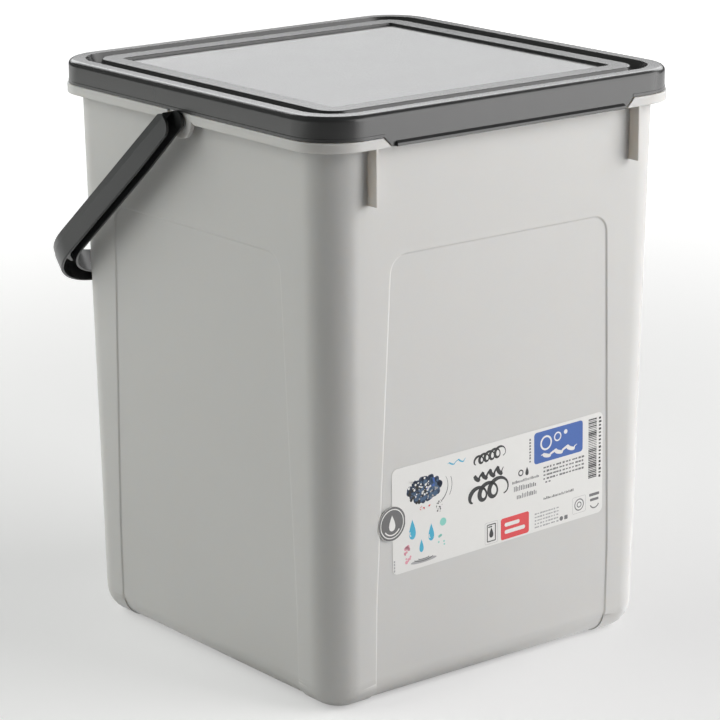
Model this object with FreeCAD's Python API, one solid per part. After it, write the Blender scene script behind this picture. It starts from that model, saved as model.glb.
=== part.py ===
import FreeCAD, Part
import math
import os

# Laundry detergent container: a square storage pail with a lift-off lid, a swinging handle and a paper label.
# Sizes are in millimetres. +X is right along the labelled face, +Y is back, +Z is up, and the origin is the
# centre of the base that the pail stands on. Square outlines are given by their half sizes along X and Y.

# Tub
WALL = 2.0
FLOOR = 2.2
BASE_HALF_X = 95.7
BASE_HALF_Y = 95.2
DRAFT = 0.016
CORNER_LOW = 16.4
CORNER_GROWTH = 0.0054
BOTTOM_ROUND = 14.0

# Panel pressed into each side of the tub. It runs down round the bottom edge and a little way under the base.
PANEL_DEPTH = 0.6
PANEL_TOP = 209.4
PANEL_TOP_HALF = 63.9
PANEL_LOW_HALF = 70.4
PANEL_FLARE_END = 48.0
PANEL_CORNER = 8.5
PANEL_SOFT = 0.6
PANEL_UNDER = 19.0
PANEL_SLOPE = ((0.0, -1.0), (0.12, -0.5), (0.5, 0.0), (0.88, 0.5), (1.0, 1.0))

# Collar round the rim, and the upstand that the lid presses onto
COLLAR_HALF_X = 106.2
COLLAR_HALF_Y = 105.3
COLLAR_CORNER = 21.6
COLLAR_TOP = 263.8
COLLAR_BOTTOM = 259.3
COLLAR_PLATE = 2.0
COLLAR_LIP = 1.8
COLLAR_ROUND = 0.35
RIM_HALF_X = 103.7
RIM_HALF_Y = 102.8
RIM_CORNER = 21.3
RIM_WALL = 2.0
RIM_TOP = 272.9

# Ribs that keep stacked tubs from jamming
RIB_X = 77.0
RIB_THICK = 1.2
RIB_BOTTOM = 234.0
RIB_ROUND = 0.35

# Handle pivot and the lug that holds it
PIVOT_Z = 260.0
LUG_FACE_X = 105.3
LUG_THICK = 2.0
LUG_RADIUS = 8.4
LUG_HOLE = 3.1
LUG_ROUND = 0.4
NOTCH_CORNER = 4.0
NOTCH_ROUND = 0.3
NOTCH_OVERLAP = 0.9

# Lid
LID_WALL = 1.8
SKIRT_HALF_X = 106.1
SKIRT_HALF_Y = 105.2
SKIRT_CORNER = 23.5
SKIRT_BOTTOM = 264.05
BEAD_OUT = 0.2
BEAD_HEIGHT = 1.5
LEDGE_Z = 275.0
LEDGE_ROUND = 2.5
LEDGE_HALF_X = 98.6
LEDGE_HALF_Y = 97.9
LEDGE_CORNER = 17.6
GROOVE_Z = 270.0
GROOVE_LEAN = 2.0
PLATEAU_Z = 274.7
PLATEAU_HALF_X = 90.3
PLATEAU_HALF_Y = 89.8
PLATEAU_CORNER = 9.4
FIELD_Z = 273.1
FIELD_HALF_X = 81.5
FIELD_HALF_Y = 80.4
FIELD_CORNER = 2.2
FIELD_LEAN = 0.3
EDGE_ROUND = 0.5

# Finger tab on the lid's front, hanging in a cut-out of the collar
TAB_TOP_HALF = 72.6
TAB_LOW_HALF = 68.1
TAB_BOTTOM = 259.6
TAB_GAP = 1.4
TAB_LIP_OUT = 1.5
TAB_LIP_TOP = 261.0
TAB_LIP_SLOPE = 1.0
TAB_LIP_ROUND = 0.35
TAB_LIP_SHORT = 1.3

# Handle, an open channel bent into a U. S runs along an arm from the pivot, N stands on the channel's back.
# Its outside leans in above the shoulder, with a fine step there.
HANDLE_REST_DEG = 39.6
HANDLE_HALF = 114.2
HANDLE_INNER_HALF = 106.6
HANDLE_END = 148.0
HANDLE_INNER_END = 138.0
HANDLE_CORNER = 38.0
HANDLE_INNER_CORNER = 30.3
HANDLE_HALF_DEPTH = 6.0
OUTER_WALL = 1.3
INNER_WALL = 1.2
WEB = 1.6
SHOULDER_N = 2.3
SHOULDER_STEP = 0.2
LEAN_IN = 0.6
BACK_ROUND = 0.5
MOUTH_ROUND = 0.3
LOWER_ROUND = 0.7
NOSE_S = -1.3
NOSE_LOW_N = -4.8
NOSE_RADIUS = 5.35
EYE_RADIUS = 4.5
TAPER_END = 40.0
BRACE_OUTER_S = 107.6
BRACE_OUTER_END_S = 114.8
BRACE_INNER_S = 119.4
BRACE_THICK = 1.2
BRACE_ROUND = 9.0
BOSS_RADIUS = 3.8
BOSS_GAP = 0.3
PIN_RADIUS = 3.02
PIN_END_X = 103.4
PIN_CHAMFER = 0.6
ARM_START = -8.0

# Label. Its badge lifts off the panel on one side, to pass over the panel's edge.
LABEL_WIDTH = 128.0
LABEL_HEIGHT = 50.0
LABEL_THICK = 0.15
LABEL_CORNER = 3.0
LABEL_X = 2.2
LABEL_Z = 87.65
LABEL_TURN_DEG = 1.55
BADGE_U = -64.35
BADGE_RADIUS = 8.15
BADGE_FOLD_U = -57.0
BADGE_LIFT_DEG = 2.6

V = FreeCAD.Vector
X_AXIS = V(1, 0, 0)
Y_AXIS = V(0, 1, 0)
Z_AXIS = V(0, 0, 1)
REACH = 400.0
ALMOST = 0.99


def plan(z):
    """Puts an outline's points on the level z."""
    return lambda u, v: V(u, v, z)


def side(x):
    """Puts an outline drawn in Y and Z on the plane at x."""
    return lambda u, v: V(x, u, v)


def front(y):
    """Puts an outline drawn in X and Z on the plane at y."""
    return lambda u, v: V(u, y, v)


def outline(corners, place):
    """Closed wire through corners (u, v, radius), each rounded by an arc of its radius."""
    edges = []
    ends = []
    for i, (u, v, radius) in enumerate(corners):
        here = V(u, v, 0)
        back = (V(*corners[i - 1][:2], 0) - here).normalize()
        ahead = (V(*corners[(i + 1) % len(corners)][:2], 0) - here).normalize()
        half_angle = back.getAngle(ahead) / 2
        reach = radius / math.tan(half_angle)
        if radius:
            middle = here + (back + ahead).normalize() * (radius / math.sin(half_angle) - radius)
        else:
            middle = here
        ends.append((here + back * reach, middle, here + ahead * reach))
    for i, (start, middle, finish) in enumerate(ends):
        following = ends[(i + 1) % len(ends)][0]
        if corners[i][2]:
            edges.append(Part.Arc(*(place(p.x, p.y) for p in (start, middle, finish))).toShape())
        if finish.distanceToPoint(following) > 1e-6:
            run = Part.LineSegment(place(finish.x, finish.y), place(following.x, following.y))
            edges.append(run.toShape())
    return Part.Wire(edges)


def prism(corners, place, along):
    """Solid of an outline pushed along a vector."""
    return Part.Face(outline(corners, place)).extrude(along)


def square(half_x, half_y, radius):
    """Corners of a rounded rectangle centred on the origin."""
    return [(half_x, half_y, radius), (-half_x, half_y, radius),
            (-half_x, -half_y, radius), (half_x, -half_y, radius)]


def slab(half_x, half_y, radius, low, high):
    """Upright block with a rounded rectangular plan."""
    return prism(square(half_x, half_y, radius), plan(low), V(0, 0, high - low))


def wedge(half_x, half_y, radius, lean, low, high):
    """Upright block of the given plan at its top, whose sides stand further out by lean at its bottom."""
    wires = [outline(square(half_x + lean, half_y + lean, radius + lean), plan(low)),
             outline(square(half_x, half_y, radius), plan(high))]
    return Part.makeLoft(wires, True, True)


def level_edges(shape, z):
    """Edges of a shape that lie on the level z."""
    return [e for e in shape.Edges if all(abs(v.Z - z) < 1e-4 for v in e.Vertexes)]


def both_sides(shape):
    """A shape together with its mirror image across X."""
    return shape.fuse(shape.mirror(V(0, 0, 0), X_AXIS))


# ---------------------------------------------------------------- tub

def panel_block(half, inset):
    """Cutter for one panel, on the side that faces -Y at half size half. An S-shaped slope softens it."""
    steps = [(half - PANEL_UNDER, PANEL_SLOPE[0][1])]
    steps += [(half - PANEL_DEPTH + part * PANEL_DEPTH, spread) for part, spread in PANEL_SLOPE]
    steps += [(half + PANEL_DEPTH, PANEL_SLOPE[-1][1])]
    wires = []
    for distance, spread in steps:
        grow = inset + spread * PANEL_SOFT
        top = PANEL_TOP + grow
        radius = PANEL_CORNER + grow
        low_half = PANEL_LOW_HALF + grow
        top_half = PANEL_TOP_HALF + grow
        corners = [(-top_half, top, radius), (-low_half, PANEL_FLARE_END, REACH),
                   (-low_half, -PANEL_UNDER, 0), (low_half, -PANEL_UNDER, 0),
                   (low_half, PANEL_FLARE_END, REACH), (top_half, top, radius)]
        wires.append(outline(corners, lambda u, v: V(u, -distance - DRAFT * v, v)))
    return Part.makeLoft(wires, True, True)


def plain_block(inset, low, high, bottom_round):
    """The tub's tapered block with a rounded bottom, with its sides moved inward by inset."""
    wires = []
    for z in (low, high):
        half_x = BASE_HALF_X + DRAFT * z - inset
        half_y = BASE_HALF_Y + DRAFT * z - inset
        wires.append(outline(square(half_x, half_y, CORNER_LOW + CORNER_GROWTH * z - inset), plan(z)))
    block = Part.makeLoft(wires, True, True)
    return block.makeFillet(bottom_round, level_edges(block, low))


def tapered_block(inset, low, high, bottom_round):
    """The tub's block with its four panels, with every face moved inward by inset."""
    block = plain_block(inset, low, high, bottom_round)
    bed = plain_block(inset + PANEL_DEPTH, low + PANEL_DEPTH, high, bottom_round - PANEL_DEPTH)
    for half, angle in ((BASE_HALF_Y, 0), (BASE_HALF_X, 90), (BASE_HALF_Y, 180), (BASE_HALF_X, 270)):
        panel = panel_block(half - inset, inset)
        panel.rotate(V(0, 0, 0), Z_AXIS, angle)
        block = block.cut(panel.cut(bed))
    return block


def collar():
    """J-shaped collar: a flat plate round the rim with a lip turned down at its edge."""
    ring = slab(COLLAR_HALF_X, COLLAR_HALF_Y, COLLAR_CORNER, COLLAR_BOTTOM, COLLAR_TOP)
    ring = ring.makeFillet(COLLAR_ROUND, level_edges(ring, COLLAR_TOP) + level_edges(ring, COLLAR_BOTTOM))
    inner_x = COLLAR_HALF_X - COLLAR_LIP
    inner_y = COLLAR_HALF_Y - COLLAR_LIP
    hollow = slab(inner_x, inner_y, COLLAR_CORNER - COLLAR_LIP, COLLAR_BOTTOM - 1, COLLAR_TOP - COLLAR_PLATE)
    return ring.cut(hollow)


def rim():
    """Upstand that the lid presses onto, with a rounded top."""
    ring = slab(RIM_HALF_X, RIM_HALF_Y, RIM_CORNER, COLLAR_TOP - COLLAR_PLATE, RIM_TOP)
    ring = ring.makeFillet(EDGE_ROUND, level_edges(ring, RIM_TOP))
    return ring


def tab_outline(grow, low, high):
    """Outline of the tab as it widens upward, from low to high, moved outward by grow."""
    slope = (TAB_TOP_HALF - TAB_LOW_HALF) / (SKIRT_BOTTOM - TAB_BOTTOM)
    low_half = TAB_LOW_HALF + grow + slope * (low - TAB_BOTTOM)
    high_half = TAB_LOW_HALF + grow + slope * (high - TAB_BOTTOM)
    return [(-low_half, low, 0), (low_half, low, 0), (high_half, high, 0), (-high_half, high, 0)]


def tab_cutout():
    """Cutter for the collar's front, where the lid's tab hangs down."""
    corners = tab_outline(TAB_GAP, COLLAR_BOTTOM - 1, SKIRT_BOTTOM + 1)
    return prism(corners, front(-RIM_HALF_Y), V(0, -10, 0))


def rib(x, y_side):
    """One stacking rib, standing on the wall under the collar."""
    outer = COLLAR_HALF_Y * y_side
    inner = (BASE_HALF_Y + DRAFT * RIB_BOTTOM - WALL / 2) * y_side
    left = x - RIB_THICK / 2
    right = x + RIB_THICK / 2
    corners = [(left, inner, 0), (left, outer, RIB_ROUND), (right, outer, RIB_ROUND), (right, inner, 0)]
    return prism(corners, plan(RIB_BOTTOM), V(0, 0, COLLAR_TOP - COLLAR_PLATE / 2 - RIB_BOTTOM))


def lug_notch():
    """Cutter that sets the collar's lip back for the lug on +X, with rounded lower corners."""
    wide = LUG_RADIUS + NOTCH_CORNER
    middle = LUG_RADIUS * NOTCH_OVERLAP
    low = COLLAR_BOTTOM - 1
    high = COLLAR_TOP + 1
    shoulder = COLLAR_BOTTOM + NOTCH_CORNER / 2
    through = V(10, 0, 0)
    straight = [(-LUG_RADIUS, low, 0), (LUG_RADIUS, low, 0), (LUG_RADIUS, high, 0), (-LUG_RADIUS, high, 0)]
    notch = prism(straight, side(LUG_FACE_X), through)
    for turn in (1, -1):
        flare = [(turn * middle, low, 0), (turn * wide, low, 0), (turn * wide, COLLAR_BOTTOM, NOTCH_ROUND),
                 (turn * LUG_RADIUS, shoulder, NOTCH_ROUND), (turn * middle, shoulder, 0)]
        notch = notch.fuse(prism(flare, side(LUG_FACE_X - LUG_THICK), through))
    return notch


def lug():
    """Half-round plate under the collar on +X that carries the handle's pin."""
    low = PIVOT_Z - LUG_RADIUS
    high = COLLAR_TOP - COLLAR_ROUND
    radius = LUG_RADIUS * ALMOST
    corners = [(-LUG_RADIUS, low, radius), (LUG_RADIUS, low, radius),
               (LUG_RADIUS, high, 0), (-LUG_RADIUS, high, 0)]
    plate = prism(corners, side(LUG_FACE_X - LUG_THICK), V(LUG_THICK, 0, 0))
    outer = [e for e in plate.Edges if e.BoundBox.XMin > LUG_FACE_X - 0.01 and e.BoundBox.ZMin < high - 0.01]
    return plate.makeFillet(LUG_ROUND, outer)


def lug_hole():
    """Cutter for the pin's hole in the lug on +X."""
    return Part.makeCylinder(LUG_HOLE, LUG_THICK + 2, V(LUG_FACE_X - LUG_THICK - 1, 0, PIVOT_Z), X_AXIS)


def tub():
    """The whole tub, one moulding."""
    body = tapered_block(0, 0, COLLAR_TOP, BOTTOM_ROUND)
    body = body.fuse(collar())
    body = body.fuse(rim())
    for x in (-RIB_X, RIB_X):
        for y_side in (-1, 1):
            body = body.fuse(rib(x, y_side))
    body = body.cut(tab_cutout())
    body = body.cut(both_sides(lug_notch()))
    body = body.fuse(both_sides(lug()))
    body = body.cut(both_sides(lug_hole()))
    body = body.cut(tapered_block(WALL, FLOOR, COLLAR_TOP + 1, BOTTOM_ROUND - WALL))
    well = slab(RIM_HALF_X - RIM_WALL, RIM_HALF_Y - RIM_WALL, RIM_CORNER - RIM_WALL, COLLAR_TOP, RIM_TOP + 1)
    return body.cut(well).removeSplitter()


# ---------------------------------------------------------------- lid

def lid_cover():
    """The lid's outside: skirt, bead and ledge, with the groove, plateau and field sunk into the top."""
    cover = slab(SKIRT_HALF_X, SKIRT_HALF_Y, SKIRT_CORNER, SKIRT_BOTTOM, LEDGE_Z)
    cover = cover.makeFillet(LEDGE_ROUND, level_edges(cover, LEDGE_Z))
    bead_top = SKIRT_BOTTOM + BEAD_HEIGHT
    bead = slab(SKIRT_HALF_X + BEAD_OUT, SKIRT_HALF_Y + BEAD_OUT, SKIRT_CORNER + BEAD_OUT,
                SKIRT_BOTTOM, bead_top)
    bead = bead.makeFillet(BEAD_OUT * ALMOST, level_edges(bead, bead_top) + level_edges(bead, SKIRT_BOTTOM))
    beside = V(-TAB_TOP_HALF, -SKIRT_HALF_Y - BEAD_HEIGHT, SKIRT_BOTTOM)
    cover = cover.fuse(bead.cut(Part.makeBox(2 * TAB_TOP_HALF, BEAD_HEIGHT, BEAD_HEIGHT, beside)))
    top = wedge(LEDGE_HALF_X, LEDGE_HALF_Y, LEDGE_CORNER, -GROOVE_LEAN, GROOVE_Z, LEDGE_Z)
    plateau = wedge(PLATEAU_HALF_X, PLATEAU_HALF_Y, PLATEAU_CORNER, GROOVE_LEAN, GROOVE_Z, PLATEAU_Z)
    field = wedge(FIELD_HALF_X, FIELD_HALF_Y, FIELD_CORNER, -FIELD_LEAN, FIELD_Z, PLATEAU_Z)
    plateau = plateau.cut(field)
    plateau = plateau.makeFillet(EDGE_ROUND, level_edges(plateau, PLATEAU_Z))
    return cover.cut(top.cut(plateau))


def lid_hollow():
    """Cutter for the lid's underside, which leaves an even wall."""
    inside_x = SKIRT_HALF_X - LID_WALL
    inside_y = SKIRT_HALF_Y - LID_WALL
    inside_corner = SKIRT_CORNER - LID_WALL
    hollow = slab(inside_x, inside_y, inside_corner, SKIRT_BOTTOM - 1, LEDGE_Z - LID_WALL)
    groove = wedge(LEDGE_HALF_X + LID_WALL, LEDGE_HALF_Y + LID_WALL, LEDGE_CORNER + LID_WALL,
                   -GROOVE_LEAN, GROOVE_Z - LID_WALL, LEDGE_Z)
    plateau = wedge(PLATEAU_HALF_X - LID_WALL, PLATEAU_HALF_Y - LID_WALL, PLATEAU_CORNER - LID_WALL,
                    GROOVE_LEAN, GROOVE_Z - LID_WALL - 1, PLATEAU_Z - LID_WALL)
    field = slab(FIELD_HALF_X + LID_WALL, FIELD_HALF_Y + LID_WALL, FIELD_CORNER + LID_WALL,
                 FIELD_Z - LID_WALL, LEDGE_Z)
    return hollow.cut(groove).fuse(plateau.cut(field))


def tab():
    """Finger tab with slanted ends, which steps out to a lip along its bottom."""
    outer = -SKIRT_HALF_Y
    inner = outer + LID_WALL
    lip = outer - TAB_LIP_OUT
    plate = prism(tab_outline(0, TAB_BOTTOM, SKIRT_BOTTOM), front(outer), V(0, LID_WALL, 0))
    root = Part.makeBox(2 * TAB_TOP_HALF, LID_WALL, BEAD_HEIGHT, V(-TAB_TOP_HALF, outer, SKIRT_BOTTOM))
    section = [(inner, TAB_BOTTOM, 0), (lip, TAB_BOTTOM, TAB_LIP_ROUND), (lip, TAB_LIP_TOP, TAB_LIP_ROUND),
               (outer, TAB_LIP_TOP + TAB_LIP_SLOPE, 0), (inner, TAB_LIP_TOP + TAB_LIP_SLOPE, 0)]
    half = TAB_LOW_HALF - TAB_LIP_SHORT
    return plate.fuse(root).fuse(prism(section, side(-half), V(2 * half, 0, 0)))


def lid():
    """The whole lid, one moulding."""
    return lid_cover().cut(lid_hollow()).fuse(tab()).removeSplitter()


# ---------------------------------------------------------------- handle

def bail_corners(half, end, radius):
    """Plan of a U: straight arms from behind the pivots to two round corners."""
    return [(half, ARM_START, 0), (half, end, radius), (-half, end, radius), (-half, ARM_START, 0)]


def bail_outline(inset):
    """Corners of the handle's outer outline moved in by inset."""
    return bail_corners(HANDLE_HALF - inset, HANDLE_END - inset, HANDLE_CORNER - inset)


def bail(inset, low, high):
    """Solid U plate, open towards the pivots, inside the handle's outer outline moved in by inset."""
    return prism(bail_outline(inset), plan(low), V(0, 0, high - low))


def bail_gap(outset, low, high):
    """Space inside the U, inside the handle's inner outline moved out by outset."""
    corners = bail_corners(HANDLE_INNER_HALF + outset, HANDLE_INNER_END + outset,
                           HANDLE_INNER_CORNER + outset)
    return prism(corners, plan(low), V(0, 0, high - low))


def bend_edges(shape, level):
    """Edges of the U's outside on a level, without the ends behind the pivots."""
    return [e for e in level_edges(shape, level) if e.BoundBox.YMax > ARM_START + 1]


def bail_body():
    """The U before it is hollowed: upright below the shoulder, leaning in above it, with rounded edges."""
    body = bail(0, -HANDLE_HALF_DEPTH, SHOULDER_N)
    body = body.makeFillet(LOWER_ROUND, bend_edges(body, -HANDLE_HALF_DEPTH))
    lower = outline(bail_outline(SHOULDER_STEP), plan(SHOULDER_N))
    upper = outline(bail_outline(LEAN_IN), plan(HANDLE_HALF_DEPTH))
    back = Part.makeLoft([lower, upper], True, True)
    back = back.makeFillet(BACK_ROUND, bend_edges(back, HANDLE_HALF_DEPTH))
    return body.fuse(back)


def channel():
    """Cutter that hollows the U into a channel, open on its lower face."""
    low = -HANDLE_HALF_DEPTH - 1
    high = HANDLE_HALF_DEPTH - WEB
    return bail(OUTER_WALL, low, high).cut(bail_gap(INNER_WALL, low, high))


def arm_waste(corners, x_low, x_high):
    """Cutter for what lies outside an arm's side profile between two distances from the middle, on +X."""
    span = V(x_high - x_low, 0, 0)
    blank = prism([(-20, -20, 0), (60, -20, 0), (60, 20, 0), (-20, 20, 0)], side(x_low), span)
    return blank.cut(prism(corners, side(x_low), span))


def outer_profile():
    """Side profile of the outer wall: a round nose just short of the pivot."""
    deep = HANDLE_HALF_DEPTH
    return [(NOSE_S, NOSE_LOW_N, NOSE_RADIUS), (TAPER_END, -deep, 0), (70, -deep, 0), (70, deep, 0),
            (NOSE_S, deep, NOSE_RADIUS)]


def inner_profile():
    """Side profile of the web and the inner wall: a round eye about the pivot."""
    deep = HANDLE_HALF_DEPTH
    eye = EYE_RADIUS
    return [(-eye, -eye, eye * ALMOST), (TAPER_END, -deep, 0), (70, -deep, 0), (70, deep, 0),
            (2 * eye, deep, eye), (eye, eye, eye / 2), (-eye, eye, eye * ALMOST)]


def brace():
    """Slanting web across the channel on +X, where the arm meets the bend. It widens into the outer wall."""
    inner = HANDLE_INNER_HALF + INNER_WALL / 2
    outer = HANDLE_HALF - OUTER_WALL / 2
    elbow_x = (inner + outer) / 2 + BRACE_THICK
    corners = [(outer, BRACE_OUTER_S, 0), (outer, BRACE_OUTER_END_S, 0),
               (inner, BRACE_INNER_S + BRACE_THICK, 0), (inner, BRACE_INNER_S, 0),
               (elbow_x, BRACE_OUTER_END_S - BRACE_THICK, BRACE_ROUND)]
    low = -HANDLE_HALF_DEPTH + MOUTH_ROUND
    return prism(corners, plan(low), V(0, 0, HANDLE_HALF_DEPTH - WEB / 2 - low))


def pin():
    """Boss and pin on +X. The arms spring apart to let the two pins snap into the lugs."""
    boss_x = LUG_FACE_X + BOSS_GAP
    boss = Part.makeCylinder(BOSS_RADIUS, HANDLE_INNER_HALF - boss_x + 1, V(boss_x, 0, 0), X_AXIS)
    shank = Part.makeCylinder(PIN_RADIUS, HANDLE_INNER_HALF - PIN_END_X + 1, V(PIN_END_X, 0, 0), X_AXIS)
    shank = shank.makeChamfer(PIN_CHAMFER, [e for e in shank.Edges if e.BoundBox.XMax < PIN_END_X + 0.01])
    return boss.fuse(shank)


def handle():
    """The whole handle, one moulding, turned to where it rests behind the tub."""
    body = bail_body().cut(bail_gap(0, -HANDLE_HALF_DEPTH - 1, HANDLE_HALF_DEPTH + 1))
    body = body.cut(channel())
    body = body.makeFillet(MOUTH_ROUND, bend_edges(body, -HANDLE_HALF_DEPTH))
    wall_x = HANDLE_HALF - OUTER_WALL
    body = body.cut(both_sides(arm_waste(outer_profile(), wall_x, HANDLE_HALF + 2)))
    body = body.cut(both_sides(arm_waste(inner_profile(), HANDLE_INNER_HALF - 1, wall_x)))
    body = body.fuse(both_sides(brace())).fuse(both_sides(pin())).removeSplitter()
    body.rotate(V(0, 0, 0), X_AXIS, -HANDLE_REST_DEG)
    body.translate(V(0, 0, PIVOT_Z))
    return body


# ---------------------------------------------------------------- label

def label():
    """Die-cut paper with a round badge on its left edge, lying on the front panel."""
    half_u = LABEL_WIDTH / 2
    half_v = LABEL_HEIGHT / 2
    corners = square(half_u, half_v, LABEL_CORNER)
    sheet = prism(corners, front(0), V(0, -LABEL_THICK, 0))
    badge = Part.makeCylinder(BADGE_RADIUS, LABEL_THICK, V(BADGE_U, 0, 0), V(0, -1, 0))
    badge.rotate(V(BADGE_FOLD_U, 0, 0), Z_AXIS, BADGE_LIFT_DEG)
    sheet = sheet.fuse(badge).removeSplitter()
    sheet.rotate(V(0, 0, 0), Y_AXIS, -LABEL_TURN_DEG)
    sheet.rotate(V(0, 0, 0), X_AXIS, math.degrees(math.atan(DRAFT)))
    sheet.translate(V(LABEL_X, -(BASE_HALF_Y - PANEL_DEPTH + DRAFT * LABEL_Z), LABEL_Z))
    return sheet


os.makedirs("parts", exist_ok=True)
for name, make in (("tub", tub), ("lid", lid), ("handle", handle), ("label", label)):
    shape = make()
    print(name, "valid", shape.isValid(), "solids", len(shape.Solids), "cm3", round(shape.Volume / 1000, 1))
    shape.exportStep("parts/" + name + ".step")
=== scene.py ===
import math

import bmesh
import bpy
from mathutils import Matrix, Vector


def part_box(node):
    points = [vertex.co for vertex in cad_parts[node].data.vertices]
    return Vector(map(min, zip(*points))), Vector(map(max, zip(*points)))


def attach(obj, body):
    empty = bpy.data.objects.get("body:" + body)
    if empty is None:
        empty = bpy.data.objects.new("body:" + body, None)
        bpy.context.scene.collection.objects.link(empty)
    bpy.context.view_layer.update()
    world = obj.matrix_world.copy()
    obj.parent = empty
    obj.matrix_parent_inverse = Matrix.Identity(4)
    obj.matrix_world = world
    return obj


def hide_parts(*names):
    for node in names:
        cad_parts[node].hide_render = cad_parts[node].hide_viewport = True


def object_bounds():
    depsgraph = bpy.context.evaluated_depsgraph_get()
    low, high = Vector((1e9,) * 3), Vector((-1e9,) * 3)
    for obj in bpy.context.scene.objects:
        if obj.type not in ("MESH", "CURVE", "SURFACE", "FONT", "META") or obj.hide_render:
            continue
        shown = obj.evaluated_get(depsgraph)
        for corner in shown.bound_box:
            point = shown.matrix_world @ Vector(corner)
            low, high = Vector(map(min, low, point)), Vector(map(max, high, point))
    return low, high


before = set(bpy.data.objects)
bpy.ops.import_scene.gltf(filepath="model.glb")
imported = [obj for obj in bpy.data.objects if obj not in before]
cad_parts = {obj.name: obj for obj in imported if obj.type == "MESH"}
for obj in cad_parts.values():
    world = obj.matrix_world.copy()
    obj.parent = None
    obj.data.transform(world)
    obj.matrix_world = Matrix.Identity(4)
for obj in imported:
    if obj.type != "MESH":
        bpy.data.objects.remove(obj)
cad_box = [list(corner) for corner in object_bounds()]


# ---------------------------------------------------------------- tub
# The pail's body: one thin-walled moulding in warm light-grey polypropylene, satin outside. A panel is
# pressed into each side, and a J-shaped collar and the handle's two lugs are moulded on under the lid.

class Value:
    """A node's socket that takes part in sums: each operator adds a Math node."""

    def __init__(self, graph, socket):
        self.graph = graph
        self.socket = socket

    def maths(self, operation, *others):
        """The result of a Math node that takes this value first."""
        return self.graph.node("ShaderNodeMath", {"operation": operation}, dict(enumerate((self, *others))))

    def __add__(self, other):
        return self.maths("ADD", other)

    def __mul__(self, other):
        return self.maths("MULTIPLY", other)

    def __truediv__(self, other):
        return self.maths("DIVIDE", other)

    def __rsub__(self, number):
        return self.graph.node("ShaderNodeMath", {"operation": "SUBTRACT"}, {0: number, 1: self})

    __radd__ = __add__
    __rmul__ = __mul__


class Graph:
    """A node tree, with the one way in which nodes are added to it."""

    def __init__(self, tree):
        self.tree = tree

    def node(self, kind, settings, inputs, output=0):
        """Adds a node, sets it up, feeds its inputs with values or links, and returns one output."""
        made = self.tree.nodes.new(kind)
        for key, value in settings.items():
            setattr(made, key, value)
        for key, value in inputs.items():
            if isinstance(value, Value):
                self.tree.links.new(value.socket, made.inputs[key])
            else:
                made.inputs[key].default_value = value
        return Value(self, made.outputs[output])


class Surface(Graph):
    """One material, built from a Principled shader and the nodes that feed it."""

    def __init__(self, name, colour, roughness, **constants):
        self.material = bpy.data.materials.new(name)
        self.material.use_nodes = True
        super().__init__(self.material.node_tree)
        self.shader = self.tree.nodes["Principled BSDF"]
        self.shader.inputs["Base Color"].default_value = (*colour, 1)
        self.shader.inputs["Roughness"].default_value = roughness
        for socket, value in constants.items():
            self.shader.inputs[socket.replace("_", " ")].default_value = value

    def place(self):
        """The point on the piece, in metres."""
        return self.node("ShaderNodeTexCoord", {}, {}, "Object")

    def noise(self, size, detail=3.0, rough=0.5):
        """Soft random pattern with features about size metres across."""
        inputs = {"Vector": self.place(), "Scale": 1 / size, "Detail": detail, "Roughness": rough}
        return self.node("ShaderNodeTexNoise", {}, inputs)

    def feed(self, socket, value):
        """Links a value to one of the shader's sockets."""
        self.tree.links.new(value.socket, self.shader.inputs[socket])

    def tint(self, colour, spread, factor):
        """A colour that is darker or lighter by the share spread, by a value round 0.5."""
        dark = [channel * (1 - spread) for channel in colour]
        light = [channel * (1 + spread) for channel in colour]
        inputs = {0: factor, 6: (*dark, 1), 7: (*light, 1)}
        self.feed("Base Color", self.node("ShaderNodeMix", {"data_type": "RGBA"}, inputs, 2))

    def bump(self, height, depth):
        """Raises the surface by height times depth metres."""
        self.feed("Normal", self.node("ShaderNodeBump", {}, {"Height": height, "Distance": depth}))


def around(middle, swing, factor):
    """The middle give or take the swing, by a value from 0 to 1."""
    return factor * (2 * swing) + (middle - swing)


def clean_copy(node, name, surface, body, corner_deg, merge_within=1e-5):
    """A copy of the node's shape, joined up and shaded smooth up to corner_deg, stands for the node."""
    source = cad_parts[node].data
    mesh = bpy.data.meshes.new(name)
    mesh.from_pydata([v.co for v in source.vertices], [], [p.vertices[:] for p in source.polygons])
    shape = bmesh.new()
    shape.from_mesh(mesh)
    bmesh.ops.remove_doubles(shape, verts=shape.verts, dist=merge_within)
    shape.to_mesh(mesh)
    shape.free()
    mesh.shade_smooth()
    mesh.set_sharp_from_angle(angle=math.radians(corner_deg))
    mesh.materials.append(surface.material)
    piece = bpy.data.objects.new(name, mesh)
    bpy.context.scene.collection.objects.link(piece)
    weigh = piece.modifiers.new("Even shading", "WEIGHTED_NORMAL")
    weigh.keep_sharp = True
    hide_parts(node)
    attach(piece, body)


warm_grey = (0.585, 0.579, 0.567)
tub_roughness = 0.42
tub_grey = Surface("tub_polypropylene", warm_grey, tub_roughness, Specular_IOR_Level=0.5,
                   Subsurface_Weight=0.35, Subsurface_Scale=0.005, Subsurface_Radius=(1.0, 0.85, 0.7))
tub_cloud = tub_grey.noise(size=0.06)
tub_grey.tint(warm_grey, spread=0.02, factor=tub_cloud)
tub_grey.feed("Roughness", around(tub_roughness, swing=0.04, factor=tub_cloud))
tub_grey.bump(tub_grey.noise(size=0.0004), depth=0.00001)
clean_copy("tub", "tub_shell", tub_grey, body="tub", corner_deg=50)


# ---------------------------------------------------------------- lid
# One anthracite moulding that presses over the tub's rim: skirt with a bead, raised ledge, groove, plateau
# and a sunken field with a fine grain etched into the mould. A finger tab hangs at the front.

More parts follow.
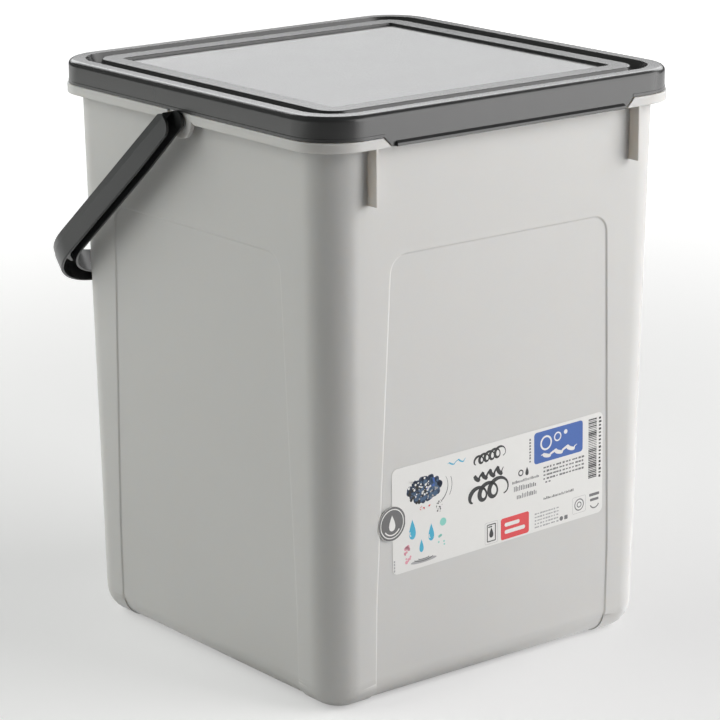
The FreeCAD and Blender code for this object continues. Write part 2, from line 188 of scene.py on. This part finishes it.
anthracite = (0.037, 0.0375, 0.038)
skirt_roughness = 0.25
field_extra_roughness = 0.14
field_half = 0.0813
field_top = 0.2735
lid_black = Surface("lid_polypropylene", anthracite, skirt_roughness, Specular_IOR_Level=0.8,
                    Coat_Roughness=0.5)
lid_cloud = lid_black.noise(size=0.03)
lid_black.tint(anthracite, spread=0.06, factor=lid_cloud)


def axis(surface, letter):
    """One coordinate of the point on the piece."""
    return surface.node("ShaderNodeSeparateXYZ", {}, {"Vector": surface.place()}, letter)


def within(surface, letter, half):
    """1 where the point is less than half away from the middle along an axis, otherwise 0."""
    return axis(surface, letter).maths("ABSOLUTE").maths("LESS_THAN", half)


on_field = within(lid_black, "X", field_half) * within(lid_black, "Y", field_half)
on_field = on_field * axis(lid_black, "Z").maths("LESS_THAN", field_top)
lid_roughness = around(skirt_roughness, swing=0.03, factor=lid_cloud)
lid_black.feed("Roughness", on_field * field_extra_roughness + lid_roughness)
lid_black.feed("Coat Weight", on_field)
lid_black.bump(on_field * lid_black.noise(size=0.0013, rough=0.6), depth=0.0005)
clean_copy("lid", "lid_cover", lid_black, body="lid", corner_deg=40)


# ---------------------------------------------------------------- handle
# The carrying handle: one anthracite moulding, an open channel bent into a U, with a pin at each end that
# snaps into the tub's lugs.

dark_anthracite = (0.031, 0.0325, 0.033)
handle_roughness = 0.31
handle_black = Surface("handle_polypropylene", dark_anthracite, handle_roughness, Specular_IOR_Level=0.42)
handle_cloud = handle_black.noise(size=0.02)
handle_black.tint(dark_anthracite, spread=0.08, factor=handle_cloud)
handle_black.feed("Roughness", around(handle_roughness, swing=0.05, factor=handle_cloud))
handle_black.bump(handle_black.noise(size=0.0008, detail=2.0), depth=0.00001)
clean_copy("handle", "handle_bail", handle_black, body="handle", corner_deg=40)


# ---------------------------------------------------------------- label
# Die-cut white coated paper, stuck a little crooked on the front panel, with a badge that passes over the
# panel's edge. Its print is flat ink, given in millimetres from the label's middle, u to the right and v up:
# fields, signs, brushed rows, rows of bars, and a cloud of foam over falling drops.

paper_white = (0.74, 0.735, 0.72)
paper = Surface("label_paper", paper_white, 0.42)
paper.tint(paper_white, spread=0.015, factor=paper.noise(size=0.004, detail=4.0))
paper.bump(paper.noise(size=0.0005), depth=0.000006)
clean_copy("label", "label_sheet", paper, body="tub", corner_deg=30)

millimetre = 0.001
film = 0.02 * millimetre
paper_thick = 0.15 * millimetre
label_turn = math.radians(1.55)
panel_draft = math.atan(0.016)
label_half = Vector((64, 25)) * millimetre
label_corner = 3.0 * millimetre
badge_fold = -57.0 * millimetre
badge_lift = math.radians(2.6)

label_low, label_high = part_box("label")
corner_middle = label_half - Vector((label_corner, label_corner))
label_reach = corner_middle.x * math.cos(label_turn) + corner_middle.y * math.sin(label_turn) + label_corner
label_z = (label_low[2] + label_high[2]) / 2
label_y = label_high[1] - math.tan(panel_draft) * (label_z - label_low[2])
tilt = Matrix.Rotation(panel_draft, 4, "X") @ Matrix.Rotation(-label_turn, 4, "Y")
face_front = Matrix.Rotation(math.radians(90), 4, "X")
on_label = Matrix.Translation((label_high[0] - label_reach, label_y, label_z)) @ tilt @ face_front
on_label = on_label @ Matrix.Translation((0, 0, paper_thick))
on_badge = on_label @ Matrix.Translation((badge_fold, 0, 0)) @ Matrix.Rotation(badge_lift, 4, "Y")
on_badge = on_badge @ Matrix.Translation((-badge_fold, 0, 0))


def ink(name, colour):
    """Matt printing ink with a faint unevenness."""
    surface = Surface(name, colour, 0.4)
    surface.tint(colour, spread=0.05, factor=surface.noise(size=0.0015))
    surface.bump(surface.noise(size=0.0004, detail=2.0), depth=0.000004)
    return surface


def add_print(name, mesh, place):
    """Puts a printed mesh in its place on the label."""
    mesh.transform(place)
    piece = bpy.data.objects.new(name, mesh)
    bpy.context.scene.collection.objects.link(piece)
    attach(piece, "tub")


def print_faces(name, faces, surface, layer=0, place=on_label):
    """Flat faces, each a list of (u, v) points, as one closed film of ink on top of the layers below it."""
    shape = bmesh.new()
    for face in faces:
        shape.faces.new([shape.verts.new((u * millimetre, v * millimetre, layer * film)) for u, v in face])
    bmesh.ops.remove_doubles(shape, verts=shape.verts, dist=1e-7)
    lifted = bmesh.ops.extrude_face_region(shape, geom=shape.faces[:], use_keep_orig=True)["geom"]
    top = [part for part in lifted if isinstance(part, bmesh.types.BMVert)]
    bmesh.ops.translate(shape, verts=top, vec=(0, 0, film))
    bmesh.ops.recalc_face_normals(shape, faces=shape.faces[:])
    mesh = bpy.data.meshes.new(name)
    shape.to_mesh(mesh)
    shape.free()
    mesh.materials.append(surface.material)
    add_print(name, mesh, place)


def arc(u, v, radius_u, radius_v, start_deg, sweep_deg, steps):
    """Points along an ellipse's arc."""
    angles = [math.radians(start_deg + sweep_deg * i / steps) for i in range(steps + 1)]
    return [(u + radius_u * math.cos(a), v + radius_v * math.sin(a)) for a in angles]


def round_box(left, low, right, high, radius, steps=6):
    """Outline of a box with round corners."""
    return (arc(right - radius, high - radius, radius, radius, 0, 90, steps)
            + arc(left + radius, high - radius, radius, radius, 90, 90, steps)
            + arc(left + radius, low + radius, radius, radius, 180, 90, steps)
            + arc(right - radius, low + radius, radius, radius, 270, 90, steps))


def disc(u, v, radius_u, radius_v, points=32):
    """Outline of a disc or an ellipse."""
    return arc(u, v, radius_u, radius_v, 0, 360 - 360 / points, points - 1)


def band(outer, inner):
    """Quads between two lines of equally many points."""
    return [[outer[i], outer[i + 1], inner[i + 1], inner[i]] for i in range(len(outer) - 1)]


def ring(u, v, radius, width, start_deg=0, sweep_deg=360, steps=36):
    """Quads along a circle, or along a part of one, inward from its radius."""
    inside = radius - width
    return band(arc(u, v, radius, radius, start_deg, sweep_deg, steps),
                arc(u, v, inside, inside, start_deg, sweep_deg, steps))


def frame_line(left, low, right, high, radius, width):
    """A round-cornered frame of even width."""
    outer = round_box(left, low, right, high, radius)
    inner = round_box(left + width, low + width, right - width, high - width, radius - width)
    return band(outer + outer[:1], inner + inner[:1])


def stroke(line, widths):
    """Quads that follow a line of points with a width at each."""
    left = []
    right = []
    for i, (u, v) in enumerate(line):
        before = line[max(i - 1, 0)]
        after = line[min(i + 1, len(line) - 1)]
        run = math.hypot(after[0] - before[0], after[1] - before[1])
        across_u = -(after[1] - before[1]) / run * widths[i] / 2
        across_v = (after[0] - before[0]) / run * widths[i] / 2
        left.append((u + across_u, v + across_v))
        right.append((u - across_u, v - across_v))
    return band(left, right)


def brushed_wave(left, middle, length, height, waves, width, steps=80):
    """A hand-brushed wave: it swells along its falling parts and thins out at both ends."""
    start_turn = 0.6
    sway = 0.025
    climb = 0.25
    taper = 12
    line = []
    widths = []
    for i in range(steps + 1):
        t = i / steps
        turn = 2 * math.pi * waves * t
        grow = 0.8 + 0.4 * t
        line.append((left + length * (t + sway * math.sin(2 * turn)),
                     middle + height / 2 * grow * math.sin(turn + start_turn) + climb * height * t))
        ends = min(1.0, taper * t, taper * (1 - t))
        widths.append(width * (0.25 + 0.75 * ends) * (1.0 - 0.3 * math.cos(turn + start_turn)))
    return stroke(line, widths)


def brushed_loops(left, middle, length, radius, loops, width, steps_per_loop=36):
    """A hand-brushed row of suds: a line that curls over itself, thicker where it comes down."""
    steps = steps_per_loop * loops
    climb = 0.1
    taper = 10
    line = []
    widths = []
    for i in range(steps + 1):
        t = i / steps
        turn = 2 * math.pi * loops * t
        size = radius * (0.85 + 0.3 * t)
        line.append((left + length * t - size * math.sin(turn),
                     middle + length * climb * t - size * math.cos(turn)))
        ends = min(1.0, taper * t, taper * (1 - t))
        widths.append(width * (0.35 + 0.65 * ends) * (0.8 + 0.35 * math.sin(turn)))
    return stroke(line, widths)


def brushed_arc(u, v, radius_u, radius_v, start_deg, sweep_deg, width, end_width, steps=20):
    """A part of an ellipse, brushed in a width that changes evenly."""
    widths = [width + (end_width - width) * i / steps for i in range(steps + 1)]
    return stroke(arc(u, v, radius_u, radius_v, start_deg, sweep_deg, steps), widths)


def drop(u, v, width, height, points=40):
    """Outline of a water drop with its tip up."""
    outline = []
    for i in range(points):
        a = 2 * math.pi * i / points
        outline.append((u + width / 2 * math.sin(a) * math.sin(a / 2) ** 1.4, v + height / 2 * math.cos(a)))
    return outline[::-1]


class Recipe(Graph):
    """A Geometry Nodes tree that makes print from named inputs."""

    def __init__(self, name, inputs):
        super().__init__(bpy.data.node_groups.new(name, "GeometryNodeTree"))
        sides = self.tree.interface
        sides.new_socket(name="Geometry", in_out="INPUT", socket_type="NodeSocketGeometry")
        for title, kind in inputs.items():
            sides.new_socket(name=title, in_out="INPUT", socket_type="NodeSocket" + kind)
        sides.new_socket(name="Ink", in_out="INPUT", socket_type="NodeSocketMaterial")
        sides.new_socket(name="Geometry", in_out="OUTPUT", socket_type="NodeSocketGeometry")
        self.entry = self.tree.nodes.new("NodeGroupInput")
        self.leave = self.tree.nodes.new("NodeGroupOutput")

    def given(self, title):
        """One of the named inputs."""
        return Value(self, self.entry.outputs[title])

    def random(self, low, high, shift):
        """A random number for each point, the same each time for the same seed and shift."""
        inputs = {2: low, 3: high, 8: self.given("Seed") + shift}
        return self.node("FunctionNodeRandomValue", {"data_type": "FLOAT"}, inputs, 1)

    def vector(self, x, y, z):
        """Three values as one vector."""
        return self.node("ShaderNodeCombineXYZ", {}, {0: x, 1: y, 2: z})

    def stamp(self, count, position, shape, scale):
        """Puts a shape on each of count points, makes it real and inks it."""
        points = self.node("GeometryNodePoints", {}, {"Count": count, "Position": position})
        inputs = {"Points": points, "Instance": shape, "Scale": scale}
        stamped = self.node("GeometryNodeInstanceOnPoints", {}, inputs)
        solid = self.node("GeometryNodeRealizeInstances", {}, {"Geometry": stamped})
        inked = self.node("GeometryNodeSetMaterial", {}, {"Geometry": solid, "Material": self.given("Ink")})
        self.tree.links.new(inked.socket, self.leave.inputs[0])

    def make(self, name, u, v, surface, layer=0, place=on_label, turn_deg=0.0, **settings):
        """Bakes the recipe with its settings into a plain mesh at (u, v) on the label."""
        settings["Ink"] = surface.material
        piece = bpy.data.objects.new(name, bpy.data.meshes.new(name))
        bpy.context.scene.collection.objects.link(piece)
        growth = piece.modifiers.new("Print", "NODES")
        growth.node_group = self.tree
        for item in self.tree.interface.items_tree:
            if item.in_out == "INPUT" and item.name in settings:
                growth[item.identifier] = settings[item.name]
        seen = piece.evaluated_get(bpy.context.evaluated_depsgraph_get())
        mesh = bpy.data.meshes.new_from_object(seen)
        bpy.data.objects.remove(piece)
        mesh.name = name
        there = Matrix.Translation((u * millimetre, v * millimetre, layer * film))
        add_print(name, mesh, place @ there @ Matrix.Rotation(math.radians(turn_deg), 4, "Z"))


bars = Recipe("Rows of bars", {"Columns": "Int", "Rows": "Int", "Pitch": "Float", "Line": "Float",
                               "Shortest": "Float", "Longest": "Float", "Thinnest": "Float",
                               "Thickest": "Float", "Seed": "Int"})
number = bars.node("GeometryNodeInputIndex", {}, {})
column = number.maths("MODULO", bars.given("Columns"))
row = (number / bars.given("Columns")).maths("FLOOR")
long = bars.random(bars.given("Shortest"), bars.given("Longest"), 0) * millimetre
thick = bars.random(bars.given("Thinnest"), bars.given("Thickest"), 1) * millimetre
bar_place = bars.vector(column * bars.given("Pitch") * millimetre + long * 0.5,
                        row * bars.given("Line") * -millimetre, film / 2)
block = bars.node("GeometryNodeMeshCube", {}, {"Size": (1, 1, 1)})
bars.stamp(bars.given("Columns") * bars.given("Rows"), bar_place, block, bars.vector(long, thick, film))

spots = Recipe("Scattered discs", {"Count": "Int", "Wide": "Float", "High": "Float", "Smallest": "Float",
                                   "Largest": "Float", "Seed": "Int"})
angle = spots.random(0.0, 2 * math.pi, 0)
away = spots.random(0.0, 1.0, 1).maths("SQRT")
radius = spots.random(spots.given("Smallest"), spots.given("Largest"), 2) * millimetre
spot_place = spots.vector(angle.maths("COSINE") * away * spots.given("Wide") * millimetre,
                          angle.maths("SINE") * away * spots.given("High") * millimetre, film / 2)
pill = spots.node("GeometryNodeMeshCylinder", {}, {"Vertices": 16, "Radius": 1.0, "Depth": 1.0})
spots.stamp(spots.given("Count"), spot_place, pill, spots.vector(radius, radius, film))

blue = ink("ink_blue", (0.030, 0.10, 0.36))
steel_blue = ink("ink_steel_blue", (0.045, 0.10, 0.19))
red = ink("ink_red", (0.66, 0.052, 0.06))
black = ink("ink_black", (0.013, 0.013, 0.014))
grey = ink("ink_grey", (0.13, 0.13, 0.135))
pale_grey = ink("ink_pale_grey", (0.36, 0.36, 0.365))
badge_grey = ink("ink_badge_grey", (0.12, 0.118, 0.12))
white = ink("ink_white", (0.76, 0.755, 0.74))
navy = ink("ink_navy", (0.014, 0.03, 0.07))
sky = ink("ink_sky_blue", (0.05, 0.38, 0.56))
mint = ink("ink_mint", (0.25, 0.60, 0.53))
pink = ink("ink_pink", (0.72, 0.33, 0.40))

# The blue and the red field.
print_faces("blue_field", [round_box(20.8, 8.2, 51.2, 23.5, 1.6)], blue)
print_faces("blue_field_bubbles",
            ring(28.2, 17.4, 3.6, 0.9) + ring(35.4, 18.9, 2.3, 0.7) + [disc(40.4, 20.2, 1.1, 1.1)]
            + brushed_wave(25.0, 11.4, 22.5, 1.8, 3, 1.5), white, 1)
print_faces("red_field", [round_box(0.3, -24.1, 17.6, -13.6, 1.2)], red)
print_faces("red_field_bars",
            [round_box(2.6, -18.0, 11.8, -16.1, 0.9), round_box(2.6, -21.5, 15.2, -19.6, 0.9)], white, 1)

# Three brushed rows.
print_faces("brushed_loops", brushed_loops(-14.6, 18.2, 16.2, 2.1, 5, 1.35), black)
print_faces("brushed_wave", brushed_wave(-16.2, 9.8, 18.2, 3.3, 4, 1.6), black)
print_faces("brushed_swirls", brushed_loops(-16.6, 1.4, 18.6, 3.7, 3, 2.2), black)

# The badge, with a drop in a ring.
badge_u = -64.35
print_faces("badge", [disc(badge_u, 0, 8.0, 8.0)], badge_grey, 0, on_badge)
print_faces("badge_ring", ring(badge_u, 0, 7.0, 0.45) + [drop(badge_u, 0.4, 5.2, 7.6)], white, 1, on_badge)
print_faces("badge_smile", ring(badge_u, -0.2, 5.4, 0.6, 215, 110), white, 1, on_badge)

# Bars in place of a code and of small print. A row that is turned upright counts along the label.
bars.make("bar_code", 54.9, 22.4, black, Columns=1, Rows=34, Pitch=1.0, Line=0.87,
          Shortest=5.2, Longest=5.2, Thinnest=0.22, Thickest=0.85, Seed=3)
bars.make("bar_code_marks", 61.5, 22.2, black, Columns=1, Rows=17, Pitch=1.0, Line=1.8,
          Shortest=1.0, Longest=1.6, Thinnest=0.7, Thickest=1.2, Seed=5)
bars.make("paragraph_right", 26.6, 5.4, grey, Columns=13, Rows=4, Pitch=2.0, Line=1.85,
          Shortest=0.9, Longest=1.85, Thinnest=0.6, Thickest=1.0, Seed=7)
bars.make("paragraph_right_end", 27.8, -1.9, grey, Columns=2, Rows=1, Pitch=2.0, Line=1.8,
          Shortest=1.1, Longest=1.5, Thinnest=0.7, Thickest=0.8, Seed=8)
bars.make("small_line", 27.0, -10.4, black, turn_deg=90.0, Columns=1, Rows=22, Pitch=1.0, Line=0.87,
          Shortest=0.7, Longest=1.3, Thinnest=0.3, Thickest=0.6, Seed=9)
bars.make("paragraph_low", 21.2, -16.3, pale_grey, Columns=9, Rows=5, Pitch=1.7, Line=1.65,
          Shortest=0.8, Longest=1.6, Thinnest=0.5, Thickest=0.9, Seed=11)
bars.make("middle_line_1", 7.6, 1.7, grey, turn_deg=90.0, Columns=1, Rows=22, Pitch=1.0, Line=0.75,
          Shortest=0.9, Longest=1.4, Thinnest=0.28, Thickest=0.55, Seed=13)
bars.make("middle_line_2", 8.6, -2.2, grey, turn_deg=90.0, Columns=1, Rows=13, Pitch=1.0, Line=1.08,
          Shortest=1.4, Longest=2.6, Thinnest=0.4, Thickest=0.7, Seed=14)
bars.make("middle_line_3", 10.4, -6.2, grey, turn_deg=90.0, Columns=1, Rows=12, Pitch=1.0, Line=1.05,
          Shortest=1.3, Longest=2.5, Thinnest=0.4, Thickest=0.7, Seed=16)
bars.make("upright_line", 18.3, 10.0, grey, turn_deg=90.0, Columns=8, Rows=1, Pitch=1.5, Line=1.0,
          Shortest=0.7, Longest=1.3, Thinnest=0.8, Thickest=1.1, Seed=15)
bars.make("upright_line_left", -63.0, -23.6, pale_grey, turn_deg=90.0, Columns=4, Rows=1, Pitch=1.5, Line=1.0,
          Shortest=0.9, Longest=1.3, Thinnest=0.6, Thickest=0.8, Seed=17)

# Small signs: a ring and a drop, a framed drop, a framed ring, and two bars over an arc.
print_faces("size_mark", ring(12.6, 6.2, 1.6, 0.6) + [drop(16.4, 6.3, 2.8, 4.2)], black)
print_faces("drop_sign_edge", frame_line(-9.4, -24.0, -1.6, -13.4, 0.7, 0.12), pale_grey)
print_faces("drop_sign", frame_line(-8.2, -23.0, -2.8, -14.4, 0.5, 0.5) + [drop(-5.5, -18.6, 3.4, 5.0)]
            + [round_box(-7.4, -16.0, -5.0, -15.4, 0.2)], black)
print_faces("ring_sign_edge", frame_line(45.0, -22.2, 53.4, -14.0, 0.7, 0.14), pale_grey)
print_faces("ring_sign", ring(49.2, -18.1, 3.0, 0.55) + ring(49.2, -18.1, 1.5, 0.5)
            + ring(59.0, -19.0, 3.2, 0.6, 205, 130), grey)
print_faces("ring_sign_rows",
            [round_box(55.6, -15.8, 62.0, -14.4, 0.4), round_box(56.2, -18.3, 61.6, -17.0, 0.4)], grey)
print_faces("mini_signs", [disc(37.9, -22.3, 1.1, 1.1), round_box(39.8, -23.3, 41.9, -21.3, 0.3)], grey)

# The picture: a cloud of foam, drops that fall from it into a puddle, and a few bubbles.
print_faces("puddle", [disc(-46.0, -21.9, 7.6, 1.0)], pale_grey)
print_faces("puddle_ripples", brushed_arc(-46.0, -20.6, 5.6, 1.4, 195, 150, 0.4, 0.4)
            + brushed_arc(-46.0, -20.4, 3.2, 0.8, 195, 150, 0.3, 0.3), grey, 1)
print_faces("falling_drops",
            [drop(-52.4, -5.6, 5.4, 9.6), drop(-41.4, -9.4, 4.6, 8.4), drop(-47.2, -14.6, 3.4, 6.2)], sky)
print_faces("falling_drops_shine",
            ring(-52.4, -7.4, 1.8, 0.5, 150, 90) + ring(-41.4, -11.0, 1.5, 0.45, 150, 90), white, 1)
print_faces("mint_bubble", [disc(-34.4, -6.2, 1.9, 1.9)], mint)
print_faces("cloud_lines", brushed_arc(-41.0, 11.0, 9.6, 8.6, -50, 80, 0.55, 0.15)
            + brushed_arc(-40.2, 11.0, 11.2, 10.2, -30, 50, 0.28, 0.28), grey)
spots.make("pink_bubbles", -55.4, -16.6, pink,
           Count=18, Wide=2.0, High=4.6, Smallest=0.3, Largest=1.0, Seed=21)
spots.make("mint_bubbles", -34.9, -13.6, mint,
           Count=7, Wide=2.6, High=4.4, Smallest=0.25, Largest=0.7, Seed=22)
spots.make("foam_navy", -45.2, 12.0, navy,
           Count=80, Wide=9.2, High=5.4, Smallest=0.7, Largest=1.9, Seed=23)
spots.make("foam_steel", -44.0, 11.6, steel_blue, layer=1,
           Count=46, Wide=8.4, High=4.6, Smallest=0.4, Largest=1.3, Seed=24)
spots.make("foam_black", -48.6, 11.2, black, layer=2,
           Count=34, Wide=6.0, High=5.0, Smallest=0.3, Largest=0.9, Seed=25)
spots.make("foam_blue", -42.0, 13.0, blue, layer=2,
           Count=9, Wide=5.0, High=3.4, Smallest=0.3, Largest=0.8, Seed=30)
spots.make("foam_white", -47.8, 14.0, white, layer=3,
           Count=36, Wide=7.0, High=5.4, Smallest=0.2, Largest=0.6, Seed=26)
spots.make("foam_pale", -43.8, 10.4, pale_grey, layer=3,
           Count=20, Wide=7.6, High=3.6, Smallest=0.2, Largest=0.55, Seed=27)
spots.make("foam_spray", -36.6, 2.2, grey,
           Count=20, Wide=2.1, High=3.8, Smallest=0.15, Largest=0.45, Seed=28)
spots.make("foam_red_dots", -44.4, 3.4, red, layer=4,
           Count=9, Wide=4.6, High=1.0, Smallest=0.2, Largest=0.45, Seed=29)
print_faces("blue_ripple", brushed_wave(-31.6, 20.4, 11.0, 1.5, 2, 0.55), sky)


# ---------------------------------------------------------------- studio
# A pale floor and a white surround. Two lamps give matt light, from the front right and weaker from the back
# left. Two more show only in the gloss, one at the front right and one behind the pail that shines along the
# lid. The floor also glows: white where the camera sees it, and in the gloss as a painted reflection that is
# strongest towards the front right. The side that one looks from stays dim.

middle_of_pail = Vector((0, 0, 0.14))


def towards(azimuth_deg, elevation_deg):
    """Direction seen from the object: azimuth 0 is in front of the label, positive to its right."""
    azimuth = math.radians(azimuth_deg)
    elevation = math.radians(elevation_deg)
    level = math.cos(elevation)
    return Vector((math.sin(azimuth) * level, -math.cos(azimuth) * level, math.sin(elevation)))


def softbox(name, azimuth_deg, elevation_deg, distance, width, height, radiance, colour, gloss_only):
    """Area lamp that faces the pail. It either shows in the gloss or gives matt light, at its radiance."""
    lamp = bpy.data.lights.new(name, "AREA")
    lamp.shape = "RECTANGLE"
    lamp.size = width
    lamp.size_y = height
    lamp.energy = radiance * math.pi * width * height
    lamp.color = colour
    stand = bpy.data.objects.new(name, lamp)
    direction = towards(azimuth_deg, elevation_deg)
    stand.location = middle_of_pail + direction * distance
    stand.rotation_euler = direction.to_track_quat("Z", "Y").to_euler()
    stand.visible_camera = False
    stand.visible_diffuse = not gloss_only
    stand.visible_glossy = gloss_only
    bpy.context.scene.collection.objects.link(stand)


warm_light = (1.0, 0.992, 0.985)
green_light = (0.985, 1.0, 0.965)
cool_light = (0.99, 0.995, 1.0)
softbox("lamp_front_right", azimuth_deg=42, elevation_deg=22, distance=1.7, width=1.7, height=1.5,
        radiance=4.7, colour=warm_light, gloss_only=False)
softbox("lamp_front_gleam", azimuth_deg=42, elevation_deg=13, distance=1.7, width=2.2, height=1.4,
        radiance=2.3, colour=warm_light, gloss_only=True)
softbox("lamp_back_left", azimuth_deg=-136, elevation_deg=22, distance=1.6, width=2.6, height=2.0,
        radiance=2.1, colour=green_light, gloss_only=False)
softbox("lamp_behind", azimuth_deg=137, elevation_deg=32, distance=1.7, width=2.8, height=0.9,
        radiance=3.2, colour=cool_light, gloss_only=True)


def pointing(graph, direction, side):
    """How far a direction points to a side: 1 straight at it, 0 across it, -1 away from it."""
    return graph.node("ShaderNodeVectorMath", {"operation": "DOT_PRODUCT"}, {0: direction, 1: side}, "Value")


def passing(graph, value, start, end, before, after):
    """Runs smoothly from before to after while the value goes from start to end."""
    inputs = {"Value": value, "From Min": start, "From Max": end, "To Min": before, "To Max": after}
    return graph.node("ShaderNodeMapRange", {"interpolation_type": "SMOOTHSTEP"}, inputs)


def dimmed(graph, direction):
    """1 in most directions, falling to 0 in directions near the side that one looks from."""
    looked_from = pointing(graph, direction, towards(-38.5, 0))
    return passing(graph, looked_from, 0.2, 0.85, before=1.0, after=0.0)


floor_reach = 6.0
floor_mesh = bpy.data.meshes.new("floor")
floor_mesh.from_pydata([(-floor_reach, -floor_reach, 0), (floor_reach, -floor_reach, 0),
                        (floor_reach, floor_reach, 0), (-floor_reach, floor_reach, 0)], [], [(0, 1, 2, 3)])
floor = bpy.data.objects.new("floor", floor_mesh)
floor.location.z = cad_box[0][2]
bpy.context.scene.collection.objects.link(floor)
floor_paint = Surface("floor_paint", (0.62, 0.62, 0.62), 0.9, Specular_IOR_Level=0.0)
seen_by_camera = floor_paint.node("ShaderNodeLightPath", {}, {}, "Is Camera Ray")
seen_in_gloss = floor_paint.node("ShaderNodeLightPath", {}, {}, "Is Glossy Ray")
out = floor_paint.place()
heading_out = floor_paint.node("ShaderNodeVectorMath", {"operation": "NORMALIZE"}, {0: out})
distance_out = floor_paint.node("ShaderNodeVectorMath", {"operation": "LENGTH"}, {0: out}, "Value")
whiteness = passing(floor_paint, distance_out, 0.3, 1.5, before=0.35, after=1.0)
rightward = pointing(floor_paint, heading_out, towards(38.5, 0))
nearness = passing(floor_paint, distance_out, 1.1, 2.2, before=1.0, after=0.3)
# Painted reflection: in gloss rays only, the floor glows, brightest towards the front right and near the
# pail, so that the lid's skirt reflects a brighter floor than the lamps light.
gloss_glow = (0.86 + 0.42 * rightward) * nearness * dimmed(floor_paint, heading_out)
glow = seen_by_camera * whiteness + seen_in_gloss * gloss_glow
floor_glow = floor_paint.node("ShaderNodeEmission", {}, {"Color": (1, 1, 1, 1), "Strength": glow})
painted = Value(floor_paint, floor_paint.shader.outputs[0])
painted_and_glowing = floor_paint.node("ShaderNodeAddShader", {}, {0: painted, 1: floor_glow})
floor_output = floor_paint.tree.nodes["Material Output"]
floor_paint.tree.links.new(painted_and_glowing.socket, floor_output.inputs["Surface"])
floor_mesh.materials.append(floor_paint.material)

world = bpy.data.worlds.new("studio")
bpy.context.scene.world = world
world.use_nodes = True
sky_graph = Graph(world.node_tree)
heading = sky_graph.node("ShaderNodeTexCoord", {}, {}, "Generated")
height = sky_graph.node("ShaderNodeSeparateXYZ", {}, {"Vector": heading}, "Z")
camera_ray = sky_graph.node("ShaderNodeLightPath", {}, {}, "Is Camera Ray")
clear_ray = sky_graph.node("ShaderNodeLightPath", {}, {}, "Is Transmission Ray")
gloss_ray = sky_graph.node("ShaderNodeLightPath", {}, {}, "Is Glossy Ray")
white_ray = camera_ray.maths("MAXIMUM", clear_ray)
overhead = passing(sky_graph, height, 0.25, 0.8, before=1.0, after=0.5)
matt_light = 0.02 * overhead * dimmed(sky_graph, heading)
to_the_back = pointing(sky_graph, heading, towards(152, 6))
gleam = passing(sky_graph, to_the_back, 0.6, 0.93, before=0.018, after=0.0425)
soft_light = gloss_ray * gleam + (1 - gloss_ray) * matt_light
strength = white_ray + (1 - white_ray) * soft_light
backdrop = world.node_tree.nodes["Background"]
backdrop.inputs["Color"].default_value = (1, 1, 1, 1)
world.node_tree.links.new(strength.socket, backdrop.inputs["Strength"])

camera_data = bpy.data.cameras.new("camera")
camera_data.sensor_fit = "HORIZONTAL"
camera_data.angle = math.radians(13.883)
camera_data.clip_end = 30
camera = bpy.data.objects.new("camera", camera_data)
eye = Vector((-0.85187, -1.06687, 0.51176))
aim = Vector((-0.0020, 0.0016, 0.1301))
roll = math.radians(-0.269)
forward = (aim - eye).normalized()
right = forward.cross(Vector((0, 0, 1))).normalized()
up = right.cross(forward)
across = right * math.cos(roll) + up * math.sin(roll)
upright = up * math.cos(roll) - right * math.sin(roll)
camera.matrix_world = Matrix((across, upright, -forward)).transposed().to_4x4()
camera.location = eye
bpy.context.scene.collection.objects.link(camera)
bpy.context.scene.camera = camera
bpy.context.scene.view_settings.view_transform = "Standard"
